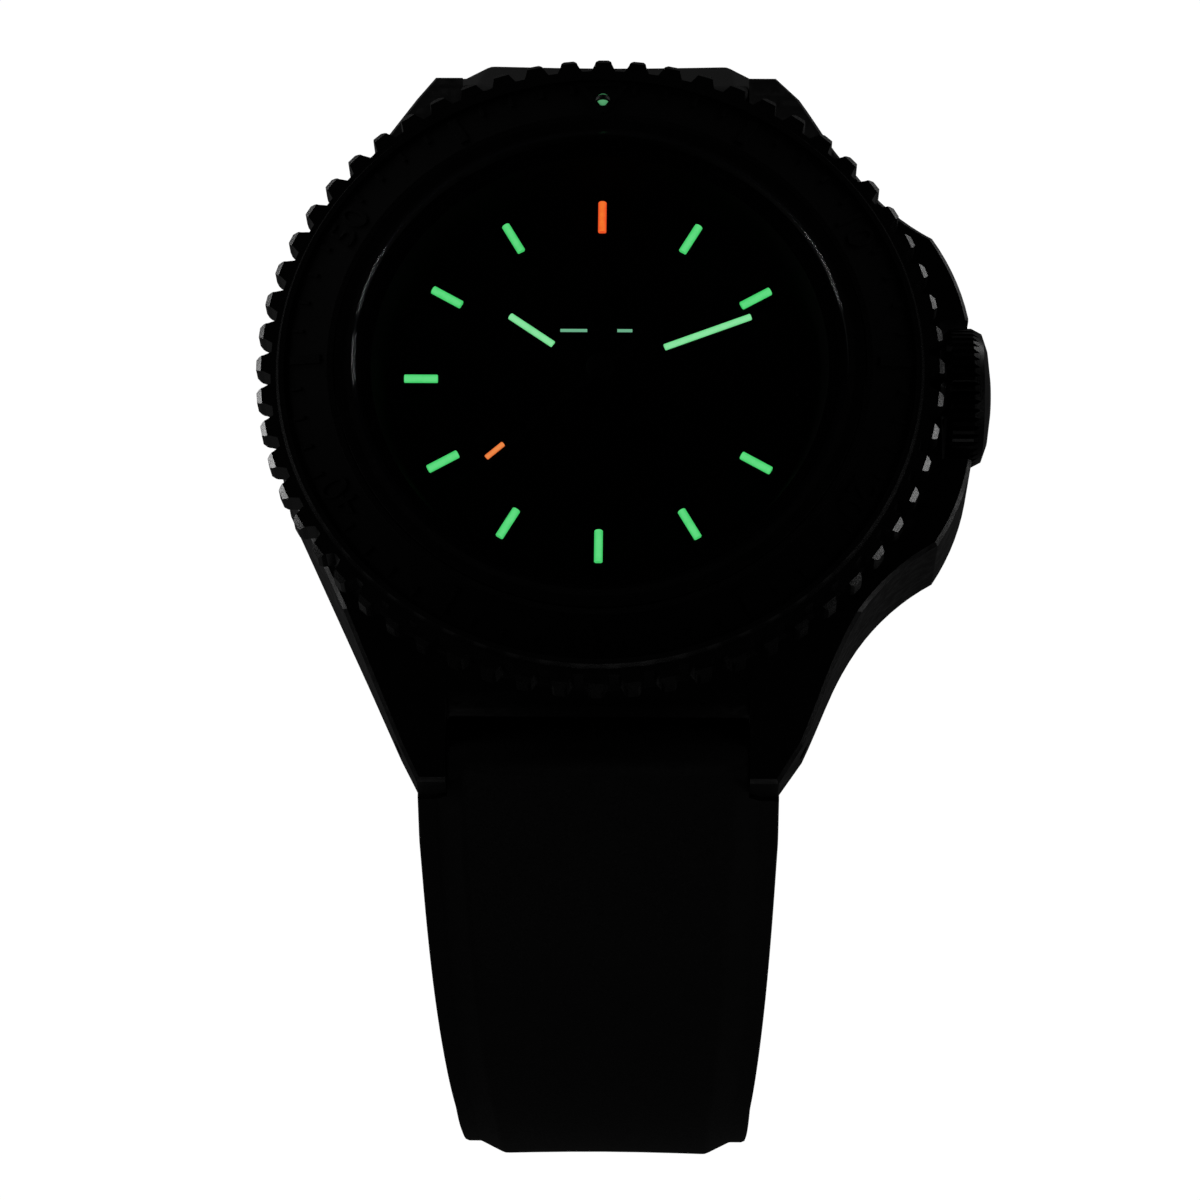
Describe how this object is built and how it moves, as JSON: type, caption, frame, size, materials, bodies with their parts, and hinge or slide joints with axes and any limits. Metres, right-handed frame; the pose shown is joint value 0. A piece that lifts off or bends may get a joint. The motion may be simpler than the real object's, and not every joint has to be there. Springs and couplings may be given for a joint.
{
  "type": "dive watch",
  "caption": "Dive wristwatch with toothed turning bezel, guarded crown, glowing tube markers and hands, date window and tapered rubber strap closed by a pin buckle.",
  "frame": {"origin": "middle of the case back's outer face, on the axis of the hands", "axes": "+Z out of the dial, +Y to twelve o'clock, +X out of the crown; the watch stands dial up on its closed strap loop"},
  "size_m": [0.0491, 0.0804, 0.0833],
  "materials": {
    "carbon_case": "satin black carbon-fibre composite",
    "black_steel": "black hard-coated steel, fine brushed",
    "steel": "plain turned steel",
    "seal_rubber": "smooth black seal rubber",
    "sapphire": "clear polished crystal",
    "black_dial": "matt black",
    "green_tube": "glass tube glowing green",
    "orange_tube": "glass tube glowing orange",
    "hand_tube": "glass tube glowing pale green",
    "second_tube": "glass tube glowing pale orange",
    "dial_dash": "dim luminous print",
    "pearl": "dim glowing glass bead",
    "hand_black": "matt black lacquer",
    "insert_black": "black anodised, printed minute marks",
    "movement_plastic": "white moulded plastic",
    "brass": "turned brass",
    "magnet": "dark magnet steel",
    "cell_steel": "bright nickel-plated can",
    "board_green": "green lacquered board",
    "chip_black": "black moulding resin",
    "coil_copper": "fine enamelled copper wire",
    "date_black": "matt black lacquer with grey numbers",
    "strap_rubber": "soft matt black rubber"
  },
  "bodies": {
    "watch": {"case_middle": "carbon_case", "case_back": "black_steel", "case_back_screws": "steel", "case_back_gasket": "seal_rubber", "crystal": "sapphire", "crystal_gasket": "seal_rubber", "rehaut_ring": "black_dial", "dial": "black_dial", "date_window_frame": "black_dial", "dial_dashes": "dial_dash", "hour_tubes": "green_tube", "twelve_tube": "orange_tube", "tube_cradles": "black_dial", "movement_holder": "movement_plastic", "main_plate": "brass", "train_bridge": "brass", "battery": "cell_steel", "circuit_board": "board_green", "control_chip": "chip_black", "quartz_can": "cell_steel", "stator": "steel", "coil_core": "steel", "coil_winding": "coil_copper", "bezel_retaining_wire": "steel", "bezel_click_spring": "steel", "bezel_gasket": "seal_rubber", "crown_tube": "steel", "spring_bar_twelve": "steel", "spring_bar_six": "steel", "strap_twelve_half": "strap_rubber", "strap_six_half": "strap_rubber", "fixed_keeper": "strap_rubber", "buckle_frame": "black_steel", "buckle_bar": "steel"},
    "bezel": {"bezel_ring": "carbon_case", "bezel_insert": "insert_black", "bezel_pearl": "pearl"},
    "seconds": {"second_wheel": "brass", "second_hand": "hand_black", "second_hand_tube": "second_tube"},
    "minutes": {"minute_pipe": "brass", "minute_hand": "hand_black", "minute_hand_tube": "hand_tube"},
    "hours": {"hour_wheel": "brass", "hour_hand": "hand_black", "hour_hand_tube": "hand_tube"},
    "motion_wheel": {"minute_wheel": "brass"},
    "third": {"third_wheel": "brass"},
    "intermediate": {"intermediate_wheel": "brass"},
    "rotor": {"stepper_rotor": "magnet"},
    "date": {"date_disc": "date_black"},
    "clutch": {"clutch_wheel": "steel"},
    "crown_set": {"crown": "black_steel", "crown_gasket": "seal_rubber", "stem": "steel"},
    "keeper": {"free_keeper": "strap_rubber"},
    "tongue": {"buckle_tongue": "black_steel"}
  },
  "joints": [
    {"name": "bezel_turn", "type": "hinge", "parent": "watch", "child": "bezel", "pos_m": [0, 0, 0.01], "axis": [0, 0, 1], "continuous": true},
    {"name": "seconds_turn", "type": "hinge", "parent": "watch", "child": "seconds", "pos_m": [0, 0, 0.003], "axis": [0, 0, -1], "continuous": true},
    {"name": "minutes_turn", "type": "hinge", "parent": "watch", "child": "minutes", "pos_m": [0, 0, 0.0042], "axis": [0, 0, -1], "continuous": true},
    {"name": "hours_turn", "type": "hinge", "parent": "watch", "child": "hours", "pos_m": [0, 0, 0.008], "axis": [0, 0, -1], "continuous": true},
    {"name": "motion_wheel_turn", "type": "hinge", "parent": "watch", "child": "motion_wheel", "pos_m": [-0.00056, 0.00315, 0.0075], "axis": [0, 0, -1], "continuous": true},
    {"name": "third_turn", "type": "hinge", "parent": "watch", "child": "third", "pos_m": [-0.00319, -0.00116, 0.0034], "axis": [0, 0, -1], "continuous": true},
    {"name": "intermediate_turn", "type": "hinge", "parent": "watch", "child": "intermediate", "pos_m": [0.00273, -0.00206, 0.0025], "axis": [0, 0, -1], "continuous": true},
    {"name": "rotor_turn", "type": "hinge", "parent": "watch", "child": "rotor", "pos_m": [0.00319, -0.00379, 0.0038], "axis": [0, 0, -1], "continuous": true},
    {"name": "date_turn", "type": "hinge", "parent": "watch", "child": "date", "pos_m": [0, 0, 0.00765], "axis": [0, 0, -1], "continuous": true},
    {"name": "crown_turn", "type": "hinge", "parent": "watch", "child": "clutch", "pos_m": [0.0105, 0, 0.0064], "axis": [1, 0, 0], "continuous": true},
    {"name": "crown_pull", "type": "slide", "parent": "clutch", "child": "crown_set", "axis": [1, 0, 0], "range_m": [0, 0.0015]},
    {"name": "keeper_slide", "type": "hinge", "parent": "watch", "child": "keeper", "pos_m": [0, 0, 0.00371], "axis": [1, 0, 0], "range_deg": [-1.8, 2.2]},
    {"name": "tongue_swing", "type": "hinge", "parent": "watch", "child": "tongue", "pos_m": [0, 0.00781, -0.06365], "axis": [1, 0, 0], "range_deg": [0, 8]}
  ],
  "couplings": [
    {"joint": "minutes_turn", "follows": "seconds_turn", "ratio": 0.016667},
    {"joint": "hours_turn", "follows": "seconds_turn", "ratio": 0.0013889},
    {"joint": "motion_wheel_turn", "follows": "seconds_turn", "ratio": -0.0055556},
    {"joint": "third_turn", "follows": "seconds_turn", "ratio": -0.13333},
    {"joint": "intermediate_turn", "follows": "seconds_turn", "ratio": -6},
    {"joint": "rotor_turn", "follows": "seconds_turn", "ratio": 30}
  ]
}
